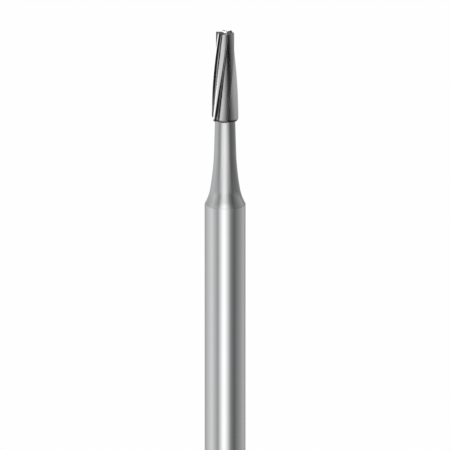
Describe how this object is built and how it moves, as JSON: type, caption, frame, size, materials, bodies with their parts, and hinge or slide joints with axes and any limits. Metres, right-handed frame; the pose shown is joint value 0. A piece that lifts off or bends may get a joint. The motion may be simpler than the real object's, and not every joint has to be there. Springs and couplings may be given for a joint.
{
  "type": "dental bur",
  "caption": "Tapered fissure bur for a straight handpiece: a helically fluted carbide head on a plain cylindrical steel shank with a waisted neck.",
  "frame": {"origin": "centre of the shank's flat end face", "axes": "+Z along the bur's axis from the shank's end to the cutting tip; -Y is the side that faces the viewer in the picture"},
  "size_m": [0.0024, 0.0024, 0.0445],
  "materials": {
    "shank_steel": "centreless-ground and polished stainless steel",
    "head_carbide": "flute-ground sintered tungsten carbide, satin"
  },
  "bodies": {
    "root": {"shank": "shank_steel", "cutting_head": "head_carbide"}
  },
  "joints": []
}
